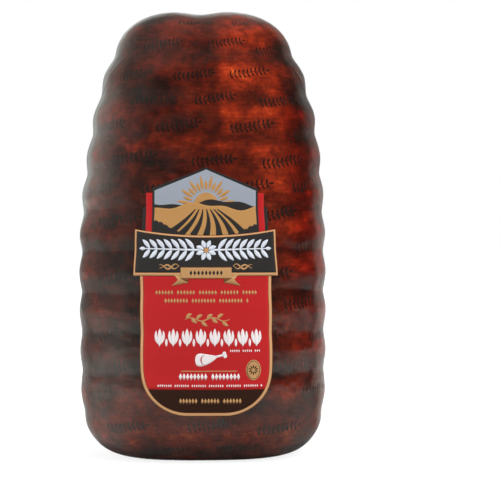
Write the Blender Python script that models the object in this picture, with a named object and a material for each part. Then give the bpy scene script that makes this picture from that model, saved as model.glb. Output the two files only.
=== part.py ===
"""A glazed deli ham, pressed in an elastic net and sealed in clear shrink film, with a label on its front.

It stands on its flat lower end. X is its width, -Y is the front that carries the label, and +Z is up.
The origin is the middle of the flat base. Lengths are in metres.
"""

import bmesh
import bpy
import numpy as np

MM = 0.001

# The whole ham
HEIGHT = 311 * MM
HALF_WIDTH = 86.0 * MM
DEPTH_TO_WIDTH = 0.84
PLAN_SQUARENESS = 2.5

# The sides lean in above this height
TAPER_FROM = 30 * MM
TAPER = 0.464
TAPER_POWER = 4.67

# The flat base and the two rounded ends
BASE_SHARE = 0.46
BASE_ROUND = 55 * MM
BASE_SQUARENESS = 2.88
TOP_ROUND = 22 * MM
TOP_SQUARENESS = 3.2

# The ridges that bulge out between the turns of the net
RIDGE_PITCH = 27.35 * MM
FIRST_CREST = 47 * MM
RIDGE_DEPTH_LOW = 1.5 * MM
RIDGE_DEPTH_HIGH = 3.0 * MM
RIDGE_ROUNDNESS = 0.75
RIDGE_WANDER = 0.8 * MM
RIDGE_UNEVEN = 0.22
FRONT_EASE = 0.72
RELIEF_FADE_LOW = 26 * MM
RELIEF_FADE_HIGH = 40 * MM

# Broad swells of the pressed meat: waves round the ham, turn for each metre of height, size and start
SWELLS = (
    (2, 14.0, 0.7 * MM, 0.4),
    (3, -21.0, 0.6 * MM, 1.9),
    (5, 33.0, 0.35 * MM, 4.1),
)

# The valley across the top and the dimple in its middle
VALLEY_DEPTH = 2.4 * MM
VALLEY_WIDTH = 13 * MM
VALLEY_LEFT = 3 * MM
DIMPLE_DEPTH = 4.0 * MM
DIMPLE_WIDTH = 17 * MM

# The label: a gable above side bars, a wide banner, and a shield with a round foot
LABEL_GAP = 0.35 * MM
LABEL_THICK = 0.35 * MM
LABEL_MIDDLE = 116 * MM
GABLE_PEAK = 199.0 * MM
GABLE_SHOULDER = 184.8 * MM
GABLE_HALF = 36.0 * MM
BAR_TOP = 181.8 * MM
BAR_HALF = 40.2 * MM
EDGE_BAR_TOP = 172.5 * MM
EDGE_BAR_HALF = 42.5 * MM
BANNER_TOP = 157.8 * MM
BANNER_FOOT = 126.5 * MM
BANNER_TOP_HALF = 47.5 * MM
BANNER_FOOT_HALF = 48.8 * MM
SHIELD_HALF = 44.3 * MM
SHIELD_FOOT = 33.5 * MM
SHIELD_ROUND = 31.5 * MM

# How finely the solids are cut into faces
COLUMNS = 64
SIDE_STEP = 4.6 * MM
END_RINGS = 9
ARC_STEPS = 10
SLOPE_STEP = 0.05 * MM


def smooth(share):
    """An S-shaped rise from 0 to 1 as share goes from 0 to 1."""
    share = np.clip(share, 0, 1)
    return share * share * (3 - 2 * share)


def plan(azimuth):
    """The plan's reach in each direction, as a share of the half width: a squarish ellipse, 0 being the front."""
    across = np.abs(np.sin(azimuth))
    along = np.abs(np.cos(azimuth)) / DEPTH_TO_WIDTH
    return (across**PLAN_SQUARENESS + along**PLAN_SQUARENESS) ** (-1 / PLAN_SQUARENESS)


def taper(z):
    """The share of the widest half width that the sides keep at a height."""
    return 1 - TAPER * np.clip((z - TAPER_FROM) / (HEIGHT - TAPER_FROM), 0, 1) ** TAPER_POWER


def end_rounding(z):
    """1 along the sides, curving in to BASE_SHARE at the base and to 0 at the top."""
    down = np.clip(1 - z / BASE_ROUND, 0, 1)
    up = np.clip((z - HEIGHT + TOP_ROUND) / TOP_ROUND, 0, 1)
    low = (1 - down**BASE_SQUARENESS) ** (1 / BASE_SQUARENESS)
    high = (1 - up**TOP_SQUARENESS) ** (1 / TOP_SQUARENESS)
    return (BASE_SHARE + (1 - BASE_SHARE) * low) * high


def ridge_depth(azimuth, z):
    """From groove to crest: deeper towards the top, uneven from ridge to ridge, and eased where the front is pressed."""
    high = np.clip((z - TAPER_FROM) / (HEIGHT - TAPER_FROM), 0, 1) ** 1.5
    depth = RIDGE_DEPTH_LOW + (RIDGE_DEPTH_HIGH - RIDGE_DEPTH_LOW) * high
    uneven = 1 + RIDGE_UNEVEN * np.sin(3 * azimuth + 60 * z) * np.cos(azimuth - 95 * z)
    return depth * uneven * (1 - FRONT_EASE * smooth(np.cos(azimuth)))


def relief(azimuth, z):
    """How far the ridges and swells stand out: round-backed waves up the side, and slow waves round it."""
    wander = RIDGE_WANDER * (np.sin(azimuth + 0.6) + 0.6 * np.sin(2 * azimuth + 2.0))
    crest = 0.5 + 0.5 * np.cos(2 * np.pi * (z - FIRST_CREST - wander) / RIDGE_PITCH)
    out = ridge_depth(azimuth, z) * (crest**RIDGE_ROUNDNESS - 0.5)
    for waves, climb, size, start in SWELLS:
        out = out + size * np.sin(waves * azimuth + climb * z + start)
    return out * smooth(z / RELIEF_FADE_LOW) * smooth((HEIGHT - z) / RELIEF_FADE_HIGH)


def skin(azimuth, z):
    """Points of the film's outer surface, as an array of (x, y, z)."""
    azimuth, z = np.broadcast_arrays(azimuth, z)
    reach = HALF_WIDTH * plan(azimuth) * taper(z) * end_rounding(z) + relief(azimuth, z)
    x = reach * np.sin(azimuth)
    y = -reach * np.cos(azimuth)
    on_top = smooth((z - HEIGHT + TOP_ROUND) / TOP_ROUND)
    valley = VALLEY_DEPTH * np.exp(-(((x + VALLEY_LEFT) / VALLEY_WIDTH) ** 2))
    dimple = DIMPLE_DEPTH * np.exp(-((x + VALLEY_LEFT) ** 2 + y**2) / DIMPLE_WIDTH**2)
    return np.stack([x, y, z - on_top * (valley + dimple)], axis=-1)


def outward(azimuth, z):
    """Unit normals of the skin, from its slopes round and up."""
    turn = SLOPE_STEP / HALF_WIDTH
    around = skin(azimuth + turn, z) - skin(azimuth - turn, z)
    upward = skin(azimuth, z + SLOPE_STEP) - skin(azimuth, z - SLOPE_STEP)
    normal = np.cross(around, upward)
    return normal / np.linalg.norm(normal, axis=-1, keepdims=True)


def ring_heights():
    """Heights of the rings from the base up, closer together where the ends curve in."""
    curl = np.linspace(0, np.pi / 2, END_RINGS + 1)
    low = BASE_ROUND * (1 - np.cos(curl) ** (2 / BASE_SQUARENESS))
    high = HEIGHT - TOP_ROUND * (1 - np.sin(curl) ** (2 / TOP_SQUARENESS))
    steps = round((HEIGHT - TOP_ROUND - BASE_ROUND) / SIDE_STEP)
    side = np.linspace(BASE_ROUND, HEIGHT - TOP_ROUND, steps + 1)
    return np.concatenate([low[:-1], side[:-1], high[:-1]])


def column_azimuths():
    """Directions of the columns of faces, starting at the back."""
    return np.linspace(-np.pi, np.pi, COLUMNS, endpoint=False)


def arc_to_azimuth(distance):
    """The direction reached by going a distance round the front of the ham from its middle, at the label's height."""
    azimuth = np.linspace(-np.pi / 2, np.pi / 2, 721)
    outline = skin(azimuth, LABEL_MIDDLE)
    travelled = np.concatenate([[0], np.cumsum(np.linalg.norm(np.diff(outline, axis=0), axis=1))])
    return np.interp(distance, travelled - travelled[len(travelled) // 2], azimuth)


def azimuth_to_arc(azimuth):
    """The distance round the front at which a direction lies, the reverse of arc_to_azimuth."""
    distance = np.linspace(-80 * MM, 80 * MM, 641)
    return np.interp(azimuth, arc_to_azimuth(distance), distance)


def new_material(name, colour, roughness, coat=0.0):
    material = bpy.data.materials.new(name)
    material.use_nodes = True
    shader = material.node_tree.nodes["Principled BSDF"]
    shader.inputs["Base Color"].default_value = (*colour, 1)
    shader.inputs["Roughness"].default_value = roughness
    shader.inputs["Metallic"].default_value = 0
    shader.inputs["Coat Weight"].default_value = coat
    material.diffuse_color = (*colour, 1)
    return material


def new_object(name, bm, material):
    mesh = bpy.data.meshes.new(name)
    bm.to_mesh(mesh)
    bm.free()
    mesh.materials.append(material)
    mesh.shade_smooth()
    obj = bpy.data.objects.new(name, mesh)
    bpy.context.scene.collection.objects.link(obj)
    return obj


def build_ham(material):
    """The sealed ham: rings of the skin bridged from the flat base to the top's dimple."""
    bm = bmesh.new()
    rings = [[bm.verts.new(p) for p in skin(column_azimuths(), z)] for z in ring_heights()]
    for lower, upper in zip(rings[:-1], rings[1:]):
        for i in range(COLUMNS):
            j = (i + 1) % COLUMNS
            bm.faces.new((lower[i], lower[j], upper[j], upper[i]))
    bm.faces.new(list(reversed(rings[0])))
    crown = bm.verts.new(skin(np.array(0.0), np.array(HEIGHT)))
    for i in range(COLUMNS):
        bm.faces.new((rings[-1][i], rings[-1][(i + 1) % COLUMNS], crown))
    bmesh.ops.recalc_face_normals(bm, faces=bm.faces)
    return new_object("ham_in_film", bm, material)


def label_outline():
    """The label's right-hand edge from the peak down to the foot, and its mirror image back up."""
    turn = np.linspace(0, np.pi / 2, ARC_STEPS + 1)
    edge = [
        (GABLE_HALF, GABLE_SHOULDER),
        (GABLE_HALF, BAR_TOP),
        (BAR_HALF, BAR_TOP),
        (BAR_HALF, EDGE_BAR_TOP),
        (EDGE_BAR_HALF, EDGE_BAR_TOP),
        (EDGE_BAR_HALF, BANNER_TOP - 0.6 * MM),
        (BANNER_TOP_HALF, BANNER_TOP),
        (BANNER_FOOT_HALF, BANNER_FOOT),
        (SHIELD_HALF, BANNER_FOOT),
    ]
    for angle in turn:
        across = SHIELD_HALF - SHIELD_ROUND * (1 - np.cos(angle))
        edge.append((across, SHIELD_FOOT + SHIELD_ROUND * (1 - np.sin(angle))))
    mirrored = [(-across, up) for across, up in reversed(edge)]
    return [(0.0, GABLE_PEAK), *edge, *mirrored]


def split_at(bm, position, direction):
    everything = list(bm.verts) + list(bm.edges) + list(bm.faces)
    bmesh.ops.bisect_plane(bm, geom=everything, dist=1e-6, plane_co=position, plane_no=direction)


def build_label(material):
    """The label: its flat outline split along the ham's own rings and columns, wrapped round, and thickened."""
    bm = bmesh.new()
    bm.faces.new([bm.verts.new((across, 0, up)) for across, up in label_outline()])
    for across in azimuth_to_arc(column_azimuths()):
        if abs(across) < BANNER_FOOT_HALF:
            split_at(bm, (across, 0, 0), (1, 0, 0))
    for up in ring_heights():
        if SHIELD_FOOT < up < GABLE_PEAK:
            split_at(bm, (0, 0, up), (0, 0, 1))
    bmesh.ops.triangulate(bm, faces=bm.faces)
    flat = np.array([v.co for v in bm.verts])
    azimuth = arc_to_azimuth(flat[:, 0])
    normal = outward(azimuth, flat[:, 2])
    inner = skin(azimuth, flat[:, 2]) + LABEL_GAP * normal
    outer = inner + LABEL_THICK * normal
    back = list(bm.verts)
    shell = bmesh.ops.extrude_face_region(bm, geom=list(bm.faces), use_keep_orig=True)
    front = [v for v in shell["geom"] if isinstance(v, bmesh.types.BMVert)]
    partner = {tuple(v.co): i for i, v in enumerate(back)}
    for v in front:
        v.co = outer[partner[tuple(v.co)]]
    for v, place in zip(back, inner):
        v.co = place
    bmesh.ops.recalc_face_normals(bm, faces=bm.faces)
    return new_object("label", bm, material)


def main():
    for obj in list(bpy.data.objects):
        bpy.data.objects.remove(obj)
    glaze = new_material("glazed_ham", (0.10, 0.022, 0.012), 0.28, coat=0.8)
    paper = new_material("label_red", (0.46, 0.022, 0.026), 0.35)
    build_ham(glaze)
    build_label(paper)


main()
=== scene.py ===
# %% [markdown]
# A glazed deli ham in clear shrink film
# The ham was pressed in an elastic net, smoked and glazed, and then sealed in film that shrank on to it.
# So there are four things to make: the meat with its mottled glaze, the thin glossy film over it, the dark
# ink that is printed all over the film, and the label on the front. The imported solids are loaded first.
# They give the size and the place of everything that follows.

import math

import bmesh
import bpy
import numpy as np
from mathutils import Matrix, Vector


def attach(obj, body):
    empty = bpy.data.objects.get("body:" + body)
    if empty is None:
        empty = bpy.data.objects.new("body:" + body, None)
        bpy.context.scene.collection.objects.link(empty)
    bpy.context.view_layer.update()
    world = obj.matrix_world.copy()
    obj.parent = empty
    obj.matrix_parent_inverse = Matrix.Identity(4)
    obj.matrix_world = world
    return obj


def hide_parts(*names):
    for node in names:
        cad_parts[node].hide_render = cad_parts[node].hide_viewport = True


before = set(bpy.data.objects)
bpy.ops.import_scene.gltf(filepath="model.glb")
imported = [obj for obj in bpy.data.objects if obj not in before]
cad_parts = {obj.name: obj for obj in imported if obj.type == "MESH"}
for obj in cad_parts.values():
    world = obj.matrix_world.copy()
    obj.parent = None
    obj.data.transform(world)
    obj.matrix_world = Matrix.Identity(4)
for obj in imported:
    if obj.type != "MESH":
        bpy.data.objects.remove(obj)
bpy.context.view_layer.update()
MM = 0.001

# %% [markdown]
# The camera
# The photo was taken with a long lens from about the ham's middle height, looking level: the upper ridges
# arch up, the lower ones sag, and neither end face shows. The ham stands left of the picture's middle, so
# the camera is turned a little to its right. Its height and lens were found by laying the ham's outline
# over the photo's, row by row, until the two differed by a pixel or so.

# %% Camera
PICTURE_SIDE = 500
HAM_COLUMN = 203.3
CAMERA_AWAY = 1.2
CAMERA_HEIGHT = 143.8 * MM
LENS = 122.3
SENSOR = 36.0
VIEW_TURN = math.radians(1.5)

pixels_ahead = LENS / SENSOR * PICTURE_SIDE
column_turn = math.atan((PICTURE_SIDE / 2 - HAM_COLUMN) / pixels_ahead)

camera = bpy.data.objects.new("camera", bpy.data.cameras.new("camera"))
bpy.context.scene.collection.objects.link(camera)
camera.data.sensor_width = SENSOR
camera.data.lens = LENS
camera.data.clip_start = 0.05
camera.data.clip_end = 50
camera.location = (-CAMERA_AWAY * math.sin(VIEW_TURN), -CAMERA_AWAY * math.cos(VIEW_TURN), CAMERA_HEIGHT)
camera.rotation_euler = (math.pi / 2, 0, -VIEW_TURN - column_turn)
bpy.context.scene.camera = camera
bpy.context.scene.view_settings.view_transform = "Standard"
print(f"at the ham a pixel is {CAMERA_AWAY / pixels_ahead / MM:.3f} mm")

# %% [markdown]
# The skin of the ham
# Everything here lies on one surface, so it is written once, as a function of two parameters: the azimuth
# round the ham, 0 at the front, and the height. Its plan is a squarish ellipse, its sides lean in towards
# the top, and both ends curve in. These are the values that the solid was made from, so whatever is laid
# on the skin fits the solid with nothing to adjust.

# %% Plan, taper and ends
HEIGHT = 311 * MM
HALF_WIDTH = 86.0 * MM
DEPTH_TO_WIDTH = 0.84
PLAN_SQUARENESS = 2.5
TAPER_FROM = 30 * MM
TAPER = 0.464
TAPER_POWER = 4.67
BASE_SHARE = 0.46
BASE_ROUND = 55 * MM
BASE_SQUARENESS = 2.88
TOP_ROUND = 22 * MM
TOP_SQUARENESS = 3.2


def smooth(share):
    """An S-shaped rise from 0 to 1: three times the square less twice the cube."""
    share = np.clip(share, 0, 1)
    return share * share * (3 - 2 * share)


def plan(azimuth):
    """Reach of a squarish ellipse: the power mean of across and along, turned over."""
    across = np.abs(np.sin(azimuth))
    along = np.abs(np.cos(azimuth)) / DEPTH_TO_WIDTH
    return (across**PLAN_SQUARENESS + along**PLAN_SQUARENESS) ** (-1 / PLAN_SQUARENESS)


def taper(z):
    """One, less a power of the height above the line where the sides start to lean in."""
    return 1 - TAPER * np.clip((z - TAPER_FROM) / (HEIGHT - TAPER_FROM), 0, 1) ** TAPER_POWER


def end_rounding(z):
    """A squarish quarter circle at each end, down to BASE_SHARE at the base and to nothing at the top."""
    down = np.clip(1 - z / BASE_ROUND, 0, 1)
    up = np.clip((z - HEIGHT + TOP_ROUND) / TOP_ROUND, 0, 1)
    low = (1 - down**BASE_SQUARENESS) ** (1 / BASE_SQUARENESS)
    high = (1 - up**TOP_SQUARENESS) ** (1 / TOP_SQUARENESS)
    return (BASE_SHARE + (1 - BASE_SHARE) * low) * high


for z in (0, 155 * MM, 300 * MM):
    print(f"reach {z / MM:.0f} mm up: {HALF_WIDTH * taper(z) * end_rounding(z) / MM:.0f} mm")


# %% [markdown]
# Ridges
# The meat swelled between the turns of the net, so there is a round-backed ridge every 27 mm, deepest near
# the top and faint at the front, where the ham was pressed flatter. They could be sculpted, but a formula
# gives the solid and this mesh the very same ones. A cosine of the height makes them, and a slow wave in
# the azimuth lets them wander. A few long sine swells make the ham a little lopsided, as a real one is.

# %% Ridges and swells
RIDGE_PITCH = 27.35 * MM
FIRST_CREST = 47 * MM
RIDGE_DEPTH_LOW = 1.5 * MM
RIDGE_DEPTH_HIGH = 3.0 * MM
RIDGE_ROUNDNESS = 0.75
RIDGE_WANDER = 0.8 * MM
RIDGE_UNEVEN = 0.22
FRONT_EASE = 0.72
RELIEF_FADE_LOW = 26 * MM
RELIEF_FADE_HIGH = 40 * MM
# Waves round the ham, how they turn with the height, size, and start
SWELLS = (
    (2, 14.0, 0.7 * MM, 0.4),
    (3, -21.0, 0.6 * MM, 1.9),
    (5, 33.0, 0.35 * MM, 4.1),
)


def crest(azimuth, z):
    """1 on a ridge and 0 in a groove: a cosine of the height, which two sines of the azimuth shift."""
    wander = RIDGE_WANDER * (np.sin(azimuth + 0.6) + 0.6 * np.sin(2 * azimuth + 2.0))
    return 0.5 + 0.5 * np.cos(2 * np.pi * (z - FIRST_CREST - wander) / RIDGE_PITCH)


def ridge_depth(azimuth, z):
    """Groove to crest: deeper towards the top, uneven by a product of two waves, eased at the front."""
    high = np.clip((z - TAPER_FROM) / (HEIGHT - TAPER_FROM), 0, 1) ** 1.5
    depth = RIDGE_DEPTH_LOW + (RIDGE_DEPTH_HIGH - RIDGE_DEPTH_LOW) * high
    uneven = 1 + RIDGE_UNEVEN * np.sin(3 * azimuth + 60 * z) * np.cos(azimuth - 95 * z)
    return depth * uneven * (1 - FRONT_EASE * smooth(np.cos(azimuth)))


def relief(azimuth, z):
    """Ridges with round backs, plus slow sine swells, fading out at both ends."""
    out = ridge_depth(azimuth, z) * (crest(azimuth, z) ** RIDGE_ROUNDNESS - 0.5)
    for waves, climb, size, start in SWELLS:
        out = out + size * np.sin(waves * azimuth + climb * z + start)
    return out * smooth(z / RELIEF_FADE_LOW) * smooth((HEIGHT - z) / RELIEF_FADE_HIGH)


print("turns of the net:", int((HEIGHT - FIRST_CREST) / RIDGE_PITCH) + 1)

# %% [markdown]
# The whole skin
# The point at an azimuth and a height adds the ridges to the plan. The upper end sinks along a shallow
# valley from front to back, which is why its outline has two shoulders, and has a dimple in its middle.
# The unit normal is worked out from two short steps on the skin, and everything that lies on the ham is
# lifted along it.

# %% Skin and normal
VALLEY_DEPTH = 2.4 * MM
VALLEY_WIDTH = 13 * MM
VALLEY_LEFT = 3 * MM
DIMPLE_DEPTH = 4.0 * MM
DIMPLE_WIDTH = 17 * MM
NORMAL_STEP = 0.05 * MM


def skin(azimuth, z):
    """The point at an azimuth and a height: reach along the plan, then the valley and dimple of the top."""
    azimuth, z = np.broadcast_arrays(azimuth, z)
    reach = HALF_WIDTH * plan(azimuth) * taper(z) * end_rounding(z) + relief(azimuth, z)
    x = reach * np.sin(azimuth)
    y = -reach * np.cos(azimuth)
    on_top = smooth((z - HEIGHT + TOP_ROUND) / TOP_ROUND)
    valley = VALLEY_DEPTH * np.exp(-(((x + VALLEY_LEFT) / VALLEY_WIDTH) ** 2))
    dimple = DIMPLE_DEPTH * np.exp(-((x + VALLEY_LEFT) ** 2 + y**2) / DIMPLE_WIDTH**2)
    return np.stack([x, y, z - on_top * (valley + dimple)], axis=-1)


def outward(azimuth, z):
    """Unit normal: the cross product of a small step round and a small step up."""
    turn = NORMAL_STEP / HALF_WIDTH
    around = skin(azimuth + turn, z) - skin(azimuth - turn, z)
    upward = skin(azimuth, z + NORMAL_STEP) - skin(azimuth, z - NORMAL_STEP)
    normal = np.cross(around, upward)
    return normal / np.linalg.norm(normal, axis=-1, keepdims=True)


front = skin(0.0, HEIGHT / 2)
print(f"the front lies {-front[1] / MM:.1f} mm from the axis at half height")

# %% [markdown]
# Meshes from arrays
# Every new piece is a grid, or many small grids, of points in one array. They could be modelled by hand
# from Blender's own shapes, but a formula puts every point on the skin at once. The array's shape says how
# they join: grid, row, column, coordinate. The corners of all faces come from one array of numbers shifted
# by a row and by a column, so no loop runs over the points. Where a row shrinks to one point, as at a pole
# or at the tip of a leaf, its points are welded into one, so that the mesh closes there.

# %% Mesh helper
WELD = 0.001 * MM


def mesh_piece(name, points, material, closed_round=False, thickness=0.0, values=None):
    """Joins points of shape (grids, rows, columns, 3) into quads, each row's ends too if closed_round."""
    grids, rows, columns = points.shape[:3]
    number = np.arange(grids * rows * columns).reshape(grids, rows, columns)
    if closed_round:
        number = np.concatenate([number, number[:, :, :1]], axis=2)
    corners = (number[:, :-1, :-1], number[:, :-1, 1:], number[:, 1:, 1:], number[:, 1:, :-1])
    quads = np.stack(corners, axis=-1).reshape(-1, 4)
    mesh = bpy.data.meshes.new(name)
    mesh.from_pydata(points.reshape(-1, 3).tolist(), [], quads.tolist())
    for key, value in (values or {}).items():
        attribute = mesh.attributes.new(key, "FLOAT", "POINT")
        attribute.data.foreach_set("value", np.ascontiguousarray(value, np.float32).ravel())
    joined = bmesh.new()
    joined.from_mesh(mesh)
    bmesh.ops.remove_doubles(joined, verts=joined.verts, dist=WELD)
    joined.to_mesh(mesh)
    joined.free()
    mesh.shade_smooth()
    mesh.materials.append(material)
    piece = bpy.data.objects.new(name, mesh)
    bpy.context.scene.collection.objects.link(piece)
    if thickness:
        wall = piece.modifiers.new("thickness", "SOLIDIFY")
        wall.thickness = thickness
        wall.offset = -1
    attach(piece, "root")
    return piece


# %% [markdown]
# Small tools for materials
# A material is a tree of nodes. It could be joined by hand in the shader editor, but in a script every
# value can be read and changed. One call makes a node, sets it and joins it. A group is built once, with
# named inputs and outputs, and then placed in each material that needs the effect.

# %% Node helpers
def feed(tree, node, inputs):
    """Gives each named socket of a node its value, or joins it to another node's output."""
    for key, value in inputs.items():
        if isinstance(value, bpy.types.NodeSocket):
            tree.links.new(value, node.inputs[key])
        else:
            node.inputs[key].default_value = value


def add(tree, kind, inputs=None, **settings):
    """One new node, its settings, and what feeds it."""
    node = tree.nodes.new(kind)
    for key, value in settings.items():
        setattr(node, key, value)
    feed(tree, node, inputs or {})
    return node


def maths(tree, operation, *values):
    """A Math node's output."""
    return add(tree, "ShaderNodeMath", dict(enumerate(values)), operation=operation).outputs[0]


def times(tree, product, *factors):
    """The product of two or more values."""
    for factor in factors:
        product = maths(tree, "MULTIPLY", product, factor)
    return product


def soft_step(tree, value, low, high):
    """0 up to low and 1 from high on, with a smooth rise between. low may be the larger one."""
    inputs = {"Value": value, "From Min": low, "From Max": high}
    return add(tree, "ShaderNodeMapRange", inputs, interpolation_type="SMOOTHSTEP").outputs[0]


def fading(tree, value, low, high, loss):
    """A factor that falls smoothly from 1 to 1 less the loss."""
    return maths(tree, "MULTIPLY_ADD", soft_step(tree, value, low, high), -loss, 1.0)


def grey(tree, level):
    """A grey colour from one number."""
    return add(tree, "ShaderNodeCombineColor", {0: level, 1: level, 2: level}).outputs[0]


def blend_colour(tree, share, under, over):
    """A colour Mix node's output. Sockets 6 and 7 are its two colours."""
    return add(tree, "ShaderNodeMix", {0: share, 6: under, 7: over}, data_type="RGBA").outputs[2]


# %% Colours, groups and materials
def colour(red, green, blue):
    """An opaque colour."""
    return (red, green, blue, 1.0)


def new_group(name, inputs, outputs):
    """A shader node group with named sockets. Returns its tree, what comes in, and what goes out."""
    tree = bpy.data.node_groups.new(name, "ShaderNodeTree")
    for label, kind, default in inputs:
        socket = tree.interface.new_socket(label, in_out="INPUT", socket_type=kind)
        socket.default_value = default
    for label, kind in outputs:
        tree.interface.new_socket(label, in_out="OUTPUT", socket_type=kind)
    return tree, tree.nodes.new("NodeGroupInput").outputs, tree.nodes.new("NodeGroupOutput").inputs


def use_group(tree, group, inputs):
    """Places a group in a material and returns its outputs."""
    return add(tree, "ShaderNodeGroup", inputs, node_tree=group).outputs


def stored(tree, name):
    """A value that the mesh stores at each point."""
    return add(tree, "ShaderNodeAttribute", attribute_name=name).outputs["Fac"]


def object_place(tree):
    """The point in the object's own metres: whole, and split into X, Y and Z."""
    place = add(tree, "ShaderNodeTexCoord").outputs["Object"]
    return place, add(tree, "ShaderNodeSeparateXYZ", {0: place}).outputs


def azimuth_of(tree, split):
    """The turn from the front to the right: the arc tangent of X over minus Y."""
    return maths(tree, "ARCTAN2", split["X"], times(tree, split["Y"], -1.0))


def new_material(name):
    """A new material, its tree, and its Principled shader."""
    material = bpy.data.materials.new(name)
    material.use_nodes = True
    tree = material.node_tree
    return material, tree, tree.nodes["Principled BSDF"]


# %% [markdown]
# Glaze on the meat
# The glaze is caramel that the smoke baked on: red-brown, orange where it is thin, and nearly black where
# it pooled. Its patches lie flat because the ham hung in its net and the glaze ran along the threads. From
# the broadest field down to the specks they are all one effect, a noise read through a mapping that is
# squeezed along the height. So that noise becomes a group with a size and a flatness, placed once for each
# layer.

# %% Group for stretched patches
def build_patches():
    """Noise in the object's own metres, squeezed along Z by Flatness, so that its patches lie flat."""
    inputs = (
        ("Size", "NodeSocketFloat", 20.0),
        ("Flatness", "NodeSocketFloat", 2.0),
        ("Detail", "NodeSocketFloat", 4.0),
        ("Contrast", "NodeSocketFloat", 2.0),
        ("Place", "NodeSocketFloat", 0.0),
        ("Distortion", "NodeSocketFloat", 0.0),
    )
    tree, given, result = new_group("Flat patches", inputs, [("Amount", "NodeSocketFloat")])
    _, split = object_place(tree)
    high = times(tree, split["Z"], given["Flatness"])
    joined = add(tree, "ShaderNodeCombineXYZ", {"X": split["X"], "Y": split["Y"], "Z": high})
    inputs = {"Vector": joined.outputs[0], "W": given["Place"], "Scale": given["Size"]}
    inputs.update({"Detail": given["Detail"], "Distortion": given["Distortion"], "Roughness": 0.62})
    noise = add(tree, "ShaderNodeTexNoise", inputs, noise_dimensions="4D")
    centred = maths(tree, "SUBTRACT", noise.outputs["Fac"], 0.5)
    spread = maths(tree, "MULTIPLY_ADD", centred, given["Contrast"], 0.5)
    clipped = add(tree, "ShaderNodeClamp", {0: spread})
    tree.links.new(clipped.outputs[0], result["Amount"])
    return tree


patches_group = build_patches()


def flat_patches(tree, size, flatness, detail, contrast, place, distortion=0.0):
    """The amount, from 0 to 1, that one placed copy of the group gives."""
    inputs = {"Size": size, "Flatness": flatness, "Detail": detail, "Contrast": contrast}
    inputs.update({"Place": place, "Distortion": distortion})
    return use_group(tree, patches_group, inputs)["Amount"]


print("group:", patches_group.name)

# %% [markdown]
# Threads of the net
# The net was peeled off, and it left its weave in the glaze: fine threads round the ham about 3 mm apart,
# crossed by finer ones that run up it. A whole number of upright threads has to fit round the ham, or the
# weave would break where the azimuth jumps from half a turn back to minus half a turn.

# %% Group for the weave
THREAD_PITCH = 3.1 * MM
THREADS_ROUND = 140
LEVEL_SHARE, UPRIGHT_SHARE = 0.36, 0.14


def build_weave():
    """Round threads are a sine of the height, upright ones a sine of the azimuth times a whole number."""
    tree, given, result = new_group(
        "Net weave", [("Waver", "NodeSocketFloat", 0.5)], [("Thread", "NodeSocketFloat")]
    )
    place, split = object_place(tree)
    noise = add(tree, "ShaderNodeTexNoise", {"Vector": place, "Scale": 35.0, "Detail": 2.0})
    waver = times(tree, maths(tree, "SUBTRACT", noise.outputs["Fac"], 0.5), given["Waver"])
    height = maths(tree, "MULTIPLY_ADD", split["Z"], 1 / THREAD_PITCH, times(tree, waver, 8.0))
    level = maths(tree, "SINE", times(tree, height, 2 * math.pi))
    turned = maths(tree, "MULTIPLY_ADD", azimuth_of(tree, split), THREADS_ROUND, times(tree, waver, 30.0))
    upright = maths(tree, "SINE", turned)
    both = maths(tree, "ADD", times(tree, level, LEVEL_SHARE), times(tree, upright, UPRIGHT_SHARE))
    tree.links.new(maths(tree, "ADD", both, 0.5), result["Thread"])
    return tree


weave_group = build_weave()
print("group:", weave_group.name, THREADS_ROUND, "threads round")

# %% [markdown]
# The meat's material
# How thin the caramel lies is one number, and painted light and shade go into it too. It adds up six
# layers of patches, the threads, and two values stored in the mesh: how deep in a groove a point lies,
# which darkens the grooves as painted shade, and how light the glaze is there, painted light and shade
# included. A colour ramp turns the sum into colour, so every effect moves along the same scale, as on the
# real glaze: burnt is brown-black, the middle is maroon, and thin places are orange. A third stored value,
# the redness, tints the ham's right side deep red.

# %% Meat material
MEAT_RAMP = (
    (0.0, colour(0.012, 0.0058, 0.0046)),
    (0.2, colour(0.036, 0.0090, 0.0058)),
    (0.4, colour(0.096, 0.0130, 0.0062)),
    (0.6, colour(0.210, 0.0230, 0.0085)),
    (0.8, colour(0.430, 0.0440, 0.0120)),
    (1.0, colour(0.800, 0.1350, 0.0280)),
)

RED_TINT = colour(1.0, 0.42, 0.20)
PAINTED_GROOVE_SHADE = -0.10
THREAD_SHARE = 0.05
# Name, size, flatness, detail, contrast, place in the noise, distortion, and share in the sum
MEAT_LAYERS = (
    ("broad", 21.0, 1.1, 3.0, 2.8, 0.0, 0.3, 0.26),
    ("pool", 36.0, 1.2, 3.0, 4.5, 12.0, 0.4, 0.14),
    ("patch", 66.0, 1.4, 5.0, 2.8, 3.0, 0.4, 0.26),
    ("mottle", 165.0, 1.4, 3.0, 2.8, 5.0, 0.2, 0.21),
    ("speck", 520.0, 1.0, 2.0, 2.2, 7.0, 0.0, 0.08),
    ("streak", 42.0, 7.0, 3.0, 2.4, 9.0, 0.3, 0.07),
)

meat_material, tree, shader = new_material("glazed_meat")
threads = use_group(tree, weave_group, {"Waver": 0.5})
# Painted shade: the groove value darkens the grooves, and the stored tone brings painted light and shade of
# its own
caramel_and_painted_light = maths(tree, "MULTIPLY_ADD", stored(tree, "groove"), PAINTED_GROOVE_SHADE, stored(tree, "tone_and_painted_light"))
caramel_and_painted_light = maths(tree, "SUBTRACT", caramel_and_painted_light, THREAD_SHARE / 2)
caramel_and_painted_light = maths(tree, "MULTIPLY_ADD", threads["Thread"], THREAD_SHARE, caramel_and_painted_light)
for _, *noise_values, share in MEAT_LAYERS:
    amount = flat_patches(tree, *noise_values)
    caramel_and_painted_light = maths(tree, "MULTIPLY_ADD", amount, share, maths(tree, "SUBTRACT", caramel_and_painted_light, share / 2))

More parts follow.
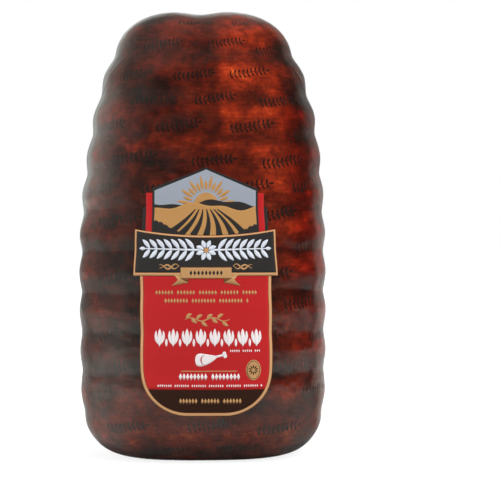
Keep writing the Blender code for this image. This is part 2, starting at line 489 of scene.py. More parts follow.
ramp = add(tree, "ShaderNodeValToRGB", {"Fac": caramel_and_painted_light})
ramp.color_ramp.elements[0].color = MEAT_RAMP[0][1]
ramp.color_ramp.elements[1].color = MEAT_RAMP[-1][1]
for position, stop in MEAT_RAMP[1:-1]:
    ramp.color_ramp.elements.new(position).color = stop
redder = blend_colour(tree, stored(tree, "redness"), colour(1, 1, 1), RED_TINT)
tinted = add(tree, "ShaderNodeVectorMath", {0: ramp.outputs["Color"], 1: redder}, operation="MULTIPLY")

dents = flat_patches(tree, size=120.0, flatness=1.2, detail=1.0, contrast=1.6, place=19.0)
height = maths(tree, "MULTIPLY_ADD", threads["Thread"], 0.15, dents)
bump = add(tree, "ShaderNodeBump", {"Strength": 0.6, "Distance": 0.5 * MM, "Height": height})
feed(tree, shader, {"Base Color": tinted.outputs["Vector"], "Normal": bump.outputs[0]})
feed(tree, shader, {"Roughness": 0.55, "Specular IOR Level": 0.06})
print("layers:", [row[0] for row in MEAT_LAYERS], "ramp stops:", len(ramp.color_ramp.elements))

# %% [markdown]
# A closed skin
# Both the meat and the film are the whole skin as one mesh, at different depths. Its rows follow the two
# rounded ends closely, because the outline turns fast there. The flat base is closed by rows that shrink
# to its middle, and the last row shrinks to one point at the top.

# %% Closed skin
BASE_ROWS = 10
SIDE_ROWS = 150
END_ROWS = 24
LOWEST_SLOPE = 0.2 * MM
HIGHEST_SLOPE = HEIGHT - 0.02 * MM


def rows_and_shares():
    """Heights of the rows and, for rows on the flat base, the share of the base's reach that they keep."""
    curl = np.linspace(0, np.pi / 2, END_ROWS + 1)
    low = BASE_ROUND * (1 - np.cos(curl) ** (2 / BASE_SQUARENESS))
    high = HEIGHT - TOP_ROUND * (1 - np.sin(curl) ** (2 / TOP_SQUARENESS))
    side = np.linspace(BASE_ROUND, HEIGHT - TOP_ROUND, SIDE_ROWS + 1)
    heights = np.concatenate([np.zeros(BASE_ROWS), low[:-1], side[:-1], high])
    shares = np.ones(len(heights))
    shares[:BASE_ROWS] = np.linspace(0, 1, BASE_ROWS, endpoint=False)
    return heights[:, None], shares[:, None]


def closed_skin(columns, inset):
    """The whole skin as one grid, moved inwards along its normals by inset."""
    heights, shares = rows_and_shares()
    azimuth = np.linspace(-np.pi, np.pi, columns, endpoint=False)[None, :]
    points = skin(azimuth, heights)
    # The two ends have no slope of their own, so their normals are taken a hair inside
    normal = outward(azimuth, np.clip(heights, LOWEST_SLOPE, HIGHEST_SLOPE))
    normal[shares[:, 0] < 1] = (0, 0, -1)
    points[..., :2] *= shares[..., None]
    points = points - inset * normal
    points[-1] = points[-1].mean(axis=0)
    return points[None], azimuth, heights


print("rows of the skin:", len(rows_and_shares()[0]))

# %% [markdown]
# Where the glaze is light, with painted light and shade
# The glow is what the eye notices first in the photo: the upper right is bright orange, with a straight
# soft edge on its left, and the lower half stays dark. It is a sum of smooth fields in azimuth and height,
# each the product of rises and hills. Some of the fields are painted light and shade: lighter rims at the
# sides, a lighter top edge, dark rows along the upper ridges, and a darker foot where the ham meets the
# floor. A few small spots, bright and dark, are added where the photo shows one. The sum is worked out
# once for each point of the mesh and stored in it, because a shader would need dozens of nodes for it.

# %% Glow and redness
def rise(value, start, end):
    """0 up to start and 1 from end on, with an S-shaped rise between. start may be the larger one."""
    return smooth((value - start) / (end - start))


def hill(value, middle, spread):
    """A bell curve that is 1 at the middle."""
    return np.exp(-(((value - middle) / spread) ** 2))


# Azimuth and reach in degrees, height in millimetres, and strength: bright spots, then dark pools
SPOTS = (
    (26, 7, 281, 0.12),
    (29, 7, 266, 0.16),
    (17, 7, 262, 0.14),
    (14, 9, 279, 0.24),
    (22, 7, 233, 0.09),
    (-5, 8, 223, 0.24),
    (-6, 16, 204, 0.16),
    (48, 9, 160, 0.12),
    (56, 10, 244, 0.16),
    (-30, 13, 248, -0.24),
    (-23, 9, 239, -0.22),
    (40, 8, 212, -0.20),
)


def glaze_tone_and_painted_light(azimuth, z):
    """How far from burnt the glaze is, with painted light and shade added: a level for the height, plus
    fields and spots by strength.
    """
    degrees, high = np.degrees(azimuth), z / MM
    aside = np.abs(degrees)
    # Painted light and shade in the level: lighter along the top edge, and painted shade in the lowest 14
    # mm, where the ham meets the floor
    level = 0.37 + 0.05 * rise(high, 120, 220) + 0.12 * rise(high, 286, 300) - 0.30 * rise(high, 14, 0)
    foot = rise(high, 70, 20) * (1 - 0.75 * rise(aside, 40, 70))
    bright = rise(degrees, 5, 13) * rise(degrees, 60, 38)
    bright = bright * rise(high, 180, 255) * (1 - 0.55 * rise(high, 286, 300))
    under_bright = rise(degrees, -2, 10) * rise(degrees, 58, 42) * hill(high, 208, 40)
    # Painted shade: dark rows at the ridges' pitch across the upper front right, the ridges' shading put
    # into the colour
    painted_shade_rows = crest(azimuth, z - 6.5 * MM) ** 2 * rise(high, 208, 220) * rise(high, 292, 262)
    painted_shade_rows = painted_shade_rows * rise(degrees, -4, 10) * rise(degrees, 90, 60)
    shoulder = rise(degrees, 42, 56) * rise(degrees, 140, 110) * rise(high, 185, 215)
    beside_label = hill(degrees, 44, 16) * hill(high, 145, 24)
    upper_left = hill(degrees, -28, 24) * hill(high, 240, 34)
    behind = hill(degrees, 150, 40) * hill(high, 215, 60) + hill(degrees, -120, 30) * hill(high, 250, 40)
    right = rise(degrees, 20, 40) * rise(degrees, 140, 100) * hill(high, 115, 100)
    # Painted light: the glaze is made lighter towards both rims, more on the left above 150 mm
    painted_rim_light = rise(aside, 48, 68) * rise(aside, 140, 110)
    left_rim_light = 0.05 + 0.09 * rise(high, 150, 190)
    fields = (
        (0.38, foot),
        (0.24, bright),
        (0.17, under_bright),
        (-0.22, painted_shade_rows),
        (-0.15, shoulder),
        (0.09, beside_label),
        (0.05, upper_left),
        (0.16, behind),
        (0.17, right),
        (np.where(degrees < 0, left_rim_light, 0.04), painted_rim_light),
    )
    for turn, reach, middle, strength in SPOTS:
        level = level + strength * hill(degrees, turn, reach) * hill(high, middle, 0.9 * reach)
    return level + sum(strength * field for strength, field in fields)


def redness_of(azimuth, z):
    """Where the glaze is a clear deep red: the ham's right side, seen from the front, below the shoulder."""
    degrees, high = np.degrees(azimuth), z / MM
    return rise(degrees, 38, 54) * rise(degrees, 96, 74) * rise(high, 281, 231) * rise(high, 50, 110)


turns = np.radians(np.linspace(-90, 90, 7))
print("glow across the front at 240 mm:", glaze_tone_and_painted_light(turns, 240 * MM).round(2))

# %% [markdown]
# The meat
# The meat is the skin pushed in by a third of a millimetre, to leave room for the film. It carries the
# three values that its material reads.

# %% Meat
FILM_GAP = 0.3 * MM
MEAT_COLUMNS = 208

meat_points, azimuth, heights = closed_skin(MEAT_COLUMNS, FILM_GAP)
meat = mesh_piece(
    "ham_meat",
    meat_points,
    meat_material,
    closed_round=True,
    values={
        "groove": 1 - crest(azimuth, heights),
        "tone_and_painted_light": glaze_tone_and_painted_light(azimuth, heights),
        "redness": redness_of(azimuth, heights),
    },
)
print("meat faces:", len(meat.data.polygons))

# %% [markdown]
# The film
# Shrink film is clear, so it shows only by what it mirrors. A clear sheet mirrors little seen straight on
# and nearly everything seen along it, the Fresnel effect, and that is why the ham's rims look grey. A
# Principled shader whose alpha is the Fresnel share and whose metal mirrors white does just that: the
# share is mirrored and the rest passes straight through. The film puckers a little, and it creases where
# it had too much width. Two things make its mirrored share uneven: a noise for the blotches, and a painted
# reflection stored in the mesh, which is high on the left shoulder and low down at the front.

# %% Group for creases
def build_crease():
    """A round-backed line in azimuth and height: across it a bell curve, along it a fade at both ends."""
    inputs = (
        ("Azimuth", "NodeSocketFloat", 0.0),
        ("Height", "NodeSocketFloat", 0.2),
        ("Slope", "NodeSocketFloat", 0.0),
        ("Reach", "NodeSocketFloat", 0.2),
        ("Width", "NodeSocketFloat", 0.001),
    )
    tree, given, result = new_group("Crease", inputs, [("Lift", "NodeSocketFloat")])
    _, split = object_place(tree)
    along = maths(tree, "SUBTRACT", azimuth_of(tree, split), given["Azimuth"])
    bend = times(tree, maths(tree, "SINE", times(tree, along, 17.0)), 0.8 * MM)
    line = maths(tree, "MULTIPLY_ADD", along, given["Slope"], maths(tree, "ADD", given["Height"], bend))
    across = maths(tree, "DIVIDE", maths(tree, "SUBTRACT", split["Z"], line), given["Width"])
    bell = maths(tree, "EXPONENT", times(tree, across, across, -1.0))
    share = maths(tree, "DIVIDE", along, given["Reach"])
    fade = maths(tree, "SUBTRACT", 1.0, times(tree, share, share))
    lift = times(tree, bell, maths(tree, "MAXIMUM", fade, 0.0))
    tree.links.new(lift, result["Lift"])
    return tree


crease_group = build_crease()
print("group:", crease_group.name)

# %% [markdown]
# The film's material
# The mirrored share is the Fresnel value times the stored painted reflection and its noise, and it becomes
# the alpha.
# Bumps for the puckers and the creases tilt the normal, and the Fresnel node reads the same tilted normal
# as the shader.

# %% Film material
FILM_IOR = 1.5
FILM_TINT = colour(0.93, 0.945, 0.865)
PUCKER_DEPTH, CREASE_DEPTH = 0.9 * MM, 0.4 * MM
HAZE_LEAST, HAZE_SPREAD = 0.72, 0.55
ROUGH_LEAST, ROUGH_SPREAD = 0.11, 0.08
# Azimuth in radians, height in metres, slope, reach in radians, and width in metres
CREASES = (
    (1.22, 0.262, -0.070, 0.20, 0.0010),
    (1.28, 0.256, -0.080, 0.17, 0.0011),
    (1.34, 0.249, -0.070, 0.14, 0.0010),
    (-1.15, 0.262, 0.080, 0.18, 0.0012),
    (2.40, 0.255, 0.060, 0.26, 0.0012),
    (-2.20, 0.272, -0.080, 0.24, 0.0012),
)

film_material, tree, shader = new_material("shrink_film")
lift = 0.0
for turn, high, slope, reach, width in CREASES:
    inputs = {"Azimuth": turn, "Height": high, "Slope": slope, "Reach": reach, "Width": width}
    lift = maths(tree, "ADD", use_group(tree, crease_group, inputs)["Lift"], lift)
pucker = flat_patches(tree, size=38.0, flatness=1.3, detail=2.0, contrast=1.5, place=11.0)
inputs = {"Strength": 1.0, "Distance": PUCKER_DEPTH, "Height": pucker}
pucker_bump = add(tree, "ShaderNodeBump", inputs).outputs[0]
inputs = {"Strength": 1.0, "Distance": CREASE_DEPTH, "Height": lift, "Normal": pucker_bump}
creased = add(tree, "ShaderNodeBump", inputs).outputs[0]

mirrored = add(tree, "ShaderNodeFresnel", {"IOR": FILM_IOR, "Normal": creased}).outputs[0]
milky = flat_patches(tree, size=42.0, flatness=1.2, detail=3.0, contrast=2.0, place=15.0)
uneven = maths(tree, "MULTIPLY_ADD", milky, HAZE_SPREAD, HAZE_LEAST)
# The stored value is painted reflection: it makes the film mirror more or less from place to place
share = maths(tree, "MINIMUM", times(tree, mirrored, uneven, stored(tree, "painted_reflection")), 1.0)
smear = flat_patches(tree, size=60.0, flatness=1.0, detail=2.0, contrast=1.6, place=13.0)
rough = maths(tree, "MULTIPLY_ADD", smear, ROUGH_SPREAD, ROUGH_LEAST)
feed(tree, shader, {"Alpha": share, "Roughness": rough, "Normal": creased})
feed(tree, shader, {"Base Color": FILM_TINT, "Metallic": 1.0})
print("creases:", len(CREASES))

# %% [markdown]
# The film's mesh
# The film is the skin itself, so it has the size of the imported solid. How strongly it mirrors at each
# point is stored in its mesh as a painted reflection. That is where the haze differs from place to place:
# the reflection is painted stronger on the left shoulder and low at the front, and weaker at the rims.

# %% Film
def painted_reflection_of(azimuth, z):
    """Painted reflection, the film's mirrored share: 1, more on the left shoulder and low at the front, less
    at rims and foot.
    """
    degrees, high = np.degrees(azimuth), z / MM
    aside = np.abs(degrees)
    start = 38 + 9 * rise(high, 235, 265)
    left = rise(-degrees, start, start + 26) * rise(-degrees, 145, 115)
    left = left * rise(high, 150, 190) * rise(high, 307, 285)
    low = rise(high, 150, 60) * rise(aside, 66, 48) * np.where(degrees < 0, 0.9, 0.8)
    rim = rise(high, 115, 65) * rise(aside, 56, 68)
    right = rise(degrees, 40, 60) * rise(high, 185, 210)
    return (1 + 2.3 * left + low - 0.15 * rim - 0.42 * right) * (0.15 + 0.85 * rise(high, 0, 15))


FILM_COLUMNS = 224

film_points, azimuth, heights = closed_skin(FILM_COLUMNS, 0.0)
film = mesh_piece(
    "film", film_points, film_material, closed_round=True, values={"painted_reflection": painted_reflection_of(azimuth, heights)}
)
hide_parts("ham_in_film")
print("film faces:", len(film.data.polygons))

# %% [markdown]
# Laying flat shapes on the skin
# Print is drawn flat and then wrapped. A point of a drawing is a distance to the right and a height.
# Walking that distance round the ham gives an azimuth, and the skin does the rest. Every printed shape is
# the space between two edges, so one function fills them all, and a brush stroke is the space between a
# line moved to its left and the same line moved to its right.

# %% Drawing tools
LABEL_MIDDLE = 116 * MM


def drawn(right, up):
    """Points of a drawing, from distances to the right and heights in millimetres."""
    return np.stack(np.broadcast_arrays(right, up), axis=-1)


def towards(angle):
    """Steps of length one at an angle: its cosine to the right and its sine up."""
    return drawn(np.cos(angle), np.sin(angle))


def arc_to_azimuth(distance):
    """The azimuth at a distance right of the front, measured round the ham at the label's middle height."""
    azimuth = np.linspace(-np.pi / 2, np.pi / 2, 721)
    outline = skin(azimuth, LABEL_MIDDLE)
    travelled = np.concatenate([[0], np.cumsum(np.linalg.norm(np.diff(outline, axis=0), axis=1))])
    return np.interp(distance, travelled - travelled[len(travelled) // 2], azimuth)


def lay(flat, lift):
    """Flat points in millimetres, put on the skin and lifted off it along its normal."""
    azimuth = arc_to_azimuth(flat[..., 0] * MM)
    z = flat[..., 1] * MM
    return skin(azimuth, z) + lift * MM * outward(azimuth, z)


def between(first, second, columns):
    """A grid from the first edge to the second: first plus a share of the way across."""
    share = np.linspace(0, 1, columns)[:, None]
    return first[..., None, :] + share * (second - first)[..., None, :]


# %% Strokes, leaves, diamonds and ovals
LEAF_ROWS = 9


def stroke(centre, half, columns=3):
    """The space between a centre line moved left and moved right by half, across the way it runs."""
    way = np.gradient(centre, axis=-2)
    way = way / np.linalg.norm(way, axis=-1, keepdims=True)
    aside = drawn(way[..., 1], -way[..., 0]) * np.asarray(half)[..., None]
    return between(centre - aside, centre + aside, columns)


def leaves(foot, angle, length, half, bend=0.0, fullness=1.0):
    """Pointed ovals: straight or bent centre lines from each foot, with a sine for their half width."""
    foot = np.asarray(foot, float).reshape(-1, 1, 2)
    angle, length, half, bend = (np.broadcast_to(v, len(foot))[:, None] for v in (angle, length, half, bend))
    along = np.linspace(0, 1, LEAF_ROWS)[None, :]
    centre = foot + towards(angle + bend * along) * (length * along)[..., None]
    return stroke(centre, half * np.sin(np.pi * along) ** fullness)


def lozenges(middle, height, half):
    """Upright diamonds: the half width rises in a straight line to the middle and falls again."""
    middle = np.asarray(middle, float).reshape(-1, 1, 2)
    along = np.linspace(-1, 1, 3)[None, :]
    return stroke(middle + drawn(0.0, along * height / 2), half * (1 - np.abs(along)))


def ovals(middle, across, high, rows=13):
    """Ellipses: the half width is the square root of one less the square of the height."""
    middle = np.asarray(middle, float).reshape(-1, 1, 2)
    turn = np.linspace(-np.pi / 2, np.pi / 2, rows)[None, :]
    return stroke(middle + drawn(0.0, np.sin(turn) * high), across * np.cos(turn), columns=5)


# %% Printing a drawing
def printed(name, flat, lift, material, thickness=0.04):
    """A printed piece from a list of flat grids that have the same rows and columns."""
    flat = np.concatenate(flat) if isinstance(flat, list) else flat
    piece = mesh_piece(name, lay(flat, lift), material, thickness=thickness * MM)
    return piece


def mirrored_in_middle(flat):
    """The grids and their mirror images, whose columns are turned round so that they face outwards too."""
    return np.concatenate([flat, flat[:, :, ::-1] * (-1, 1)])


print("a leaf has", leaves([(0, 0)], 0.0, 5.0, 1.0).shape[1:3], "points")

# %% [markdown]
# Inks
# Label stock is smooth plastic, and its inks differ only in colour and in how much they shine. Each ink is
# the same small material with one group that adds the faint grain of print, so nothing looks like flat
# paint.

# %% Inks
def build_grain():
    """Fine print grain: a share of darkening for the colour and a small change for the roughness."""
    tree, given, result = new_group(
        "Print grain",
        [("Colour", "NodeSocketColor", colour(1, 1, 1)), ("Strength", "NodeSocketFloat", 0.1)],
        [("Colour", "NodeSocketColor"), ("Roughness", "NodeSocketFloat")],
    )
    place = add(tree, "ShaderNodeTexCoord").outputs["Object"]
    fine = add(tree, "ShaderNodeTexNoise", {"Vector": place, "Scale": 900.0, "Detail": 2.0}).outputs["Fac"]
    slow = add(tree, "ShaderNodeTexNoise", {"Vector": place, "Scale": 45.0, "Detail": 4.0}).outputs["Fac"]
    both = maths(tree, "MULTIPLY_ADD", slow, 0.6, times(tree, fine, 0.4))
    share = times(tree, both, given["Strength"])
    darker = blend_colour(tree, share, given["Colour"], colour(0.02, 0.015, 0.012))
    tree.links.new(darker, result["Colour"])
    tree.links.new(maths(tree, "MULTIPLY_ADD", both, 0.25, 0.32), result["Roughness"])
    return tree


grain_group = build_grain()


def ink(name, shade, strength=0.16, shine=0.1):
    """An ink: its shade through the print grain, and how much it mirrors."""
    material, tree, shader = new_material(name)
    grain = use_group(tree, grain_group, {"Colour": shade, "Strength": strength})
    feed(tree, shader, {"Base Color": grain["Colour"], "Roughness": grain["Roughness"]})
    feed(tree, shader, {"Specular IOR Level": shine})
    return material


red_ink = ink("red_ink", colour(0.475, 0.0190, 0.0210))
gold_ink = ink("gold_ink", colour(0.500, 0.275, 0.118), strength=0.12)
land_ink = ink("land_ink", colour(0.455, 0.242, 0.085), strength=0.12)
border_ink = ink("border_ink", colour(0.600, 0.320, 0.150), strength=0.12)
edge_ink = ink("edge_ink", colour(0.180, 0.075, 0.030), strength=0.12)
black_ink = ink("black_ink", colour(0.028, 0.026, 0.025))
foot_ink = ink("foot_ink", colour(0.029, 0.0115, 0.0065))
sky_ink = ink("sky_ink", colour(0.300, 0.330, 0.380), strength=0.1)
silver_ink = ink("silver_ink", colour(0.660, 0.700, 0.780), strength=0.1)
white_ink = ink("white_ink", colour(0.800, 0.740, 0.740), strength=0.1)
print("inks:", [m.name for m in bpy.data.materials if m.name.endswith("ink")])

# %% [markdown]
# Fields of the label
# The label is three fields one above the other: a gable with bars at its sides, a wide banner whose top
# sags in the middle, and a shield with a round foot. Each lies a few hundredths of a millimetre over the
# one before, as printed layers do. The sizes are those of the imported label.

# %% Shapes of the fields
GABLE_PEAK, GABLE_SHOULDER, GABLE_HALF = 199.0, 184.8, 36.0
BAR_TOP, BAR_HALF = 181.8, 40.2
EDGE_BAR_TOP, EDGE_BAR_HALF = 172.5, 42.5
BANNER_TOP, BANNER_FOOT, BANNER_SAG = 157.8, 126.5, 4.3
BANNER_TOP_HALF, BANNER_FOOT_HALF = 47.5, 48.8
SHIELD_HALF, SHIELD_FOOT, SHIELD_ROUND = 44.3, 33.5, 31.5
FOOT_FIELD_TOP = 51.0
FIELD_COLUMNS = 49


def field(z, left, right, columns=FIELD_COLUMNS):
    """A field whose two side edges are given at each height."""
    return between(drawn(left, z)[None], drawn(right, z)[None], columns)


def gable_field(inset):
    """A house front: straight sides to the shoulder, then straight slopes to the peak."""
    half, peak, shoulder = GABLE_HALF - inset, GABLE_PEAK - 1.1 * inset, GABLE_SHOULDER - inset
    z = np.concatenate([np.linspace(BANNER_TOP - 5.5, shoulder, 20), np.linspace(shoulder, peak, 14)[1:]])
    reach = half * np.clip((peak - z) / (peak - shoulder), 0, 1)
    return field(z, -reach, reach)


def banner_field(inset_side, inset_top, inset_foot):
    """A band with slanting ends. Its top is a shallow parabola and its foot is straight."""
    up = np.linspace(0, 1, 22)[:, None]
    across = np.linspace(-1, 1, FIELD_COLUMNS)[None, :]
    half = BANNER_FOOT_HALF + (BANNER_TOP_HALF - BANNER_FOOT_HALF) * up - inset_side
    top = BANNER_TOP - BANNER_SAG * (1 - across**2) - inset_top
    foot = BANNER_FOOT + inset_foot
    return drawn(half * across, foot + (top - foot) * up)[None]


def shield_field(inset, low=None):
    """Straight sides above quarter circles that meet the flat foot."""
    half, foot, corner = SHIELD_HALF - inset, SHIELD_FOOT + inset, SHIELD_ROUND - inset
    turn = np.linspace(0, np.pi / 2, 16)
    straight = np.linspace(foot + corner, BANNER_FOOT + 1.5, 42)
    z = np.concatenate([foot + corner * (1 - np.cos(turn)), straight[1:]])
    if low is not None:
        z = np.concatenate([[low], z[z > low + 0.2]])
    down = np.clip(foot + corner - z, 0, corner)
    reach = half - corner + np.sqrt(corner**2 - down**2)
    return field(z, -reach, reach)


# %% Printed fields
# The number before each ink is how far the layer is lifted off the skin, in millimetres
shield = printed("label_shield", shield_field(0.0), 0.44, edge_ink, 0.1)
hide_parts("label")
printed("label_shield_border", shield_field(0.35), 0.47, border_ink)
printed("label_shield_line", shield_field(2.1), 0.50, edge_ink)
printed("label_foot_field", shield_field(2.4), 0.53, foot_ink)
printed("label_red_field", shield_field(2.4, low=FOOT_FIELD_TOP), 0.57, red_ink)
bar_z = np.linspace(BANNER_TOP - 4, BAR_TOP, 22)
edge_z = np.linspace(BANNER_TOP - 4, EDGE_BAR_TOP, 16)
edge_bar = field(edge_z, BAR_HALF - 0.4, EDGE_BAR_HALF, 3)
side_bar = field(bar_z, GABLE_HALF - 0.4, BAR_HALF, 4)
printed("label_edge_bars", mirrored_in_middle(edge_bar), 0.40, black_ink)
printed("label_side_bars", mirrored_in_middle(side_bar), 0.45, red_ink)
printed("label_gable", gable_field(0.0), 0.48, black_ink, 0.1)
printed("label_sky", gable_field(1.5), 0.52, sky_ink)
printed("label_banner_edge", banner_field(0.0, 0.0, 0.0), 0.77, edge_ink, 0.1)
printed("label_banner_border", banner_field(0.3, 0.3, 0.3), 0.80, border_ink)
printed("label_banner_line", banner_field(1.3, 1.3, 2.2), 0.83, edge_ink)
printed("label_banner_field", banner_field(1.5, 1.5, 2.4), 0.86, black_ink)

# %% [markdown]
# Picture in the gable
# A plain picture fills the gable: a half sun with rays over ploughed land, in gold and black. The rays are
# long thin leaves round one point, and the furrows fan out from a point above the horizon. Dark hedges
# rise at both sides, with a leafy top edge made of two sines.

# %% Sun and land
SUN = (0.0, 173.5)
SUN_RADIUS = 8.5
RAYS = 15
HORIZON = 172.5
LAND_FOOT = BANNER_TOP - 5.0
LAND_HALF = GABLE_HALF - 1.5
FURROWS = 13
BARE_MIDDLE = 9.0

ray_angle = np.radians(np.linspace(8, 172, RAYS))
ray_length = np.where(np.arange(RAYS) % 2 == 0, 10.5, 7.0)
ray_foot = np.array(SUN) + towards(ray_angle) * (SUN_RADIUS + 1.2)
printed("label_sun_rays", leaves(ray_foot, ray_angle, ray_length, 1.15), 0.56, land_ink)
printed("label_sun", ovals([SUN], SUN_RADIUS, SUN_RADIUS, rows=21), 0.56, land_ink)


def land_field(base, swing, start):
    """The land from the gable's foot up to a rolling line, the sum of two sines of the way across."""
    across = np.linspace(-LAND_HALF, LAND_HALF, FIELD_COLUMNS)[None, :]
    up = np.linspace(0, 1, 14)[:, None]
    top = base + swing * (np.sin(across * 0.11 + start) + 0.5 * np.sin(across * 0.27 + 2 * start))
    return drawn(across, LAND_FOOT + (top - LAND_FOOT) * up)[None]


printed("label_far_land", land_field(HORIZON + 2.6, 1.9, 0.6), 0.60, black_ink)
printed("label_land", land_field(HORIZON + 0.4, 1.9, 2.2), 0.64, land_ink)

furrow_end = np.linspace(-1.55, 1.55, FURROWS)
down = np.linspace(0, 1, 9)[None, :]
furrow_z = LAND_FOOT + 0.4 + (HORIZON - 2.0 - LAND_FOOT) * down
furrow_s = furrow_end[:, None] * (LAND_HALF * (1 - 0.72 * down)) + 1.6 * np.sin(down * 3.0)
inside = np.abs(furrow_s).max(axis=1) < LAND_HALF - 1.5
furrows = stroke(drawn(furrow_s[inside], furrow_z), 2.3 * (1 - 0.86 * down))
printed("label_furrows", furrows, 0.68, black_ink)

across = np.linspace(-LAND_HALF, LAND_HALF, 121)[None, :]
up = np.linspace(0, 1, 6)[:, None]
leafy = 0.9 * np.abs(np.sin(across * 0.9)) + 0.6 * np.abs(np.sin(across * 2.3 + 1))
hedge_top = 9.5 * hill(across, -LAND_HALF, 13.0) + 7.0 * hill(across, LAND_HALF, 10.0) + leafy
hedge_top = hedge_top * rise(np.abs(across), BARE_MIDDLE, 2 * BARE_MIDDLE)
printed("label_hedges", drawn(across, LAND_FOOT + hedge_top * up)[None], 0.72, black_ink)
print("rays:", RAYS, "furrows:", int(inside.sum()))

# %% [markdown]
# Garland on the banner
# A silver garland runs both ways from a rosette. Each leaf is one pointed oval. The leaves stand in pairs
# along the stem and lean outwards.

# %% Garland
GARLAND_HEIGHT = 143.6
GARLAND_CLIMB = 0.030
PAIRS = 7
LEAF_LEAN = math.radians(64)

stem_s = np.linspace(3.0, 41.0, 24)
stem = drawn(stem_s, GARLAND_HEIGHT + GARLAND_CLIMB * stem_s)[None]
stem_grid = stroke(stem, np.linspace(0.75, 0.35, 24)[None])
pair_s = 8.0 + 4.9 * np.arange(PAIRS)
pair_foot = drawn(pair_s, GARLAND_HEIGHT + GARLAND_CLIMB * pair_s)
leaf_size = np.linspace(9.6, 7.8, PAIRS)
upper = leaves(pair_foot, LEAF_LEAN, leaf_size, 1.4, bend=-0.22, fullness=0.8)
lower = leaves(pair_foot, -LEAF_LEAN, leaf_size, 1.4, bend=0.22, fullness=0.8)
tip = leaves([(40.0, GARLAND_HEIGHT + 1.2)], 0.03, 4.6, 1.2)
printed("label_garland_leaves", mirrored_in_middle(np.concatenate([upper, lower, tip])), 0.91, silver_ink)
printed("label_garland_stem", mirrored_in_middle(stem_grid), 0.92, silver_ink)

petal_angle = np.radians(np.arange(8) * 45 + 22.5)
petal_foot = np.array([0, GARLAND_HEIGHT]) + 1.6 * towards(petal_angle)
printed("label_rosette", leaves(petal_foot, petal_angle, 5.6, 1.5, fullness=0.8), 0.94, silver_ink)
printed("label_rosette_eye", ovals([(0, GARLAND_HEIGHT)], 1.7, 1.7), 0.97, gold_ink)
print("garland leaves:", 2 * (2 * PAIRS + 1))

# %% [markdown]
# Ribbon and scrolls
# A gold ribbon lies over the banner's foot. Its two ends fold under and come out below with a notch. A
# small scroll fills the black on each side of it.

# %% Ribbon
RIBBON_HALF, RIBBON_FOOT, RIBBON_TOP = 16.8, 124.8, 132.4
EDGE_LINE = 0.35

tail_outer = np.array([(-23.0, 120.0), (-18.6, 124.0), (-21.8, 128.2)])[None]
tail_inner = np.array([(-11.8, 122.2), (-13.0, 124.2), (-14.5, 126.0)])[None]
tails = between(tail_outer, tail_inner, 6)
printed("label_ribbon_tails", mirrored_in_middle(tails), 0.90, gold_ink)
ribbon_z = np.linspace(RIBBON_FOOT, RIBBON_TOP, 8)
printed("label_ribbon", field(ribbon_z, -RIBBON_HALF, RIBBON_HALF, 25), 0.95, gold_ink)
fold_outer = np.array([(-16.8, 124.8), (-16.8, 126.4)])[None]
fold_inner = np.array([(-11.8, 122.4), (-11.8, 124.9)])[None]
folds = between(fold_outer, fold_inner, 4)
printed("label_ribbon_folds", mirrored_in_middle(folds), 0.93, edge_ink)
ribbon_edges = [
    field(low + np.array([0, EDGE_LINE]), -RIBBON_HALF, RIBBON_HALF, 25)
    for low in (RIBBON_FOOT, RIBBON_TOP - EDGE_LINE)
]
printed("label_ribbon_edges", ribbon_edges, 0.98, edge_ink)
studs = drawn(np.linspace(-10, 10, 9), (RIBBON_FOOT + RIBBON_TOP) / 2)
printed("label_ribbon_studs", lozenges(studs, 3.4, 0.95), 0.99, black_ink)

along = np.linspace(0, 1, 40)[None, :]
scroll_s = 17.8 + 13.0 * along
strands = []
for start, reach in ((0.0, 1.9), (2.6, 1.5)):
    scroll_z = 132.7 + reach * np.sin(along * 8.4 + start) * (1 - 0.35 * along)
    strands.append(stroke(drawn(scroll_s, scroll_z), 0.16 + 0.42 * np.sin(np.pi * along) ** 2))
printed("label_scrolls", mirrored_in_middle(np.concatenate(strands)), 0.91, gold_ink)
print("ribbon is", 2 * RIBBON_HALF, "mm wide")

# %% [markdown]
# Ornaments on the shield
# Rows of small beads, a vine, a frieze of lilies and a ham in outline give the shield its gold and white.
# The rows drift to the right as they go down, because the label was put on a little askew. All of them are
# the strokes, leaves, diamonds and ovals from above, so the beads take no more than a table of sizes.

# %% Rows of beads
ON_SHIELD = 0.62
OVER_THOSE = 0.63
CUT_IN = 0.67


def drift(z):
    """How far the middle of a row lies to the right."""
    return (115.5 - z) * 0.036


def bead_row(name, z, half, height, bead_half, count, group, material, aside):
    """Diamonds in a row. Every bead at the end of a group is left out, so that they stand in clusters."""
    place = np.arange(count)
    kept = (place + 1) % group != 0
    s = np.linspace(-half, half, count)[kept] + drift(z) + aside
    return printed(name, lozenges(drawn(s, z), height, bead_half), ON_SHIELD, material)


# Name, height, half the row, a bead's height and half width, beads, beads to a group, ink, and how far aside
BEAD_ROWS = (
    ("label_beads_1", 115.5, 33.0, 3.5, 0.85, 33, 7, gold_ink, 0.0),
    ("label_beads_2", 110.0, 27.0, 3.5, 0.85, 28, 9, gold_ink, 0.0),
    ("label_beads_4", 59.6, 19.0, 4.8, 1.1, 17, 9, white_ink, 0.0),
    ("label_beads_5", 53.6, 34.0, 2.0, 0.50, 49, 8, white_ink, 0.0),
    ("label_beads_6", 43.5, 19.5, 3.9, 0.95, 20, 7, gold_ink, 0.0),
    ("label_beads_3", 76.8, 9.5, 2.0, 0.45, 15, 6, white_ink, 24.0),
)
for bead_values in BEAD_ROWS:
    bead_row(*bead_values)
print("bead rows:", len(BEAD_ROWS))

# %% [markdown]
# Vine, lilies and rule
# The middle of the shield holds its widest ornaments: a vine on a waving stem, a frieze of lilies with
# buds between them, and a thin rule below. Each could be drawn as a curve and filled. The leaf and the
# stroke from above do it with fewer points, and a leaf that is made of a few numbers is easily set in a
# row.

# %% Vine, lilies and rule
VINE_HEIGHT, VINE_HALF, VINE_LEAVES = 97.8, 14.6, 8
BAND_HEIGHT, BAND_HALF, LILIES = 85.5, 32.0, 8
RULE_HEIGHT, RULE_HALF = 63.4, 18.4

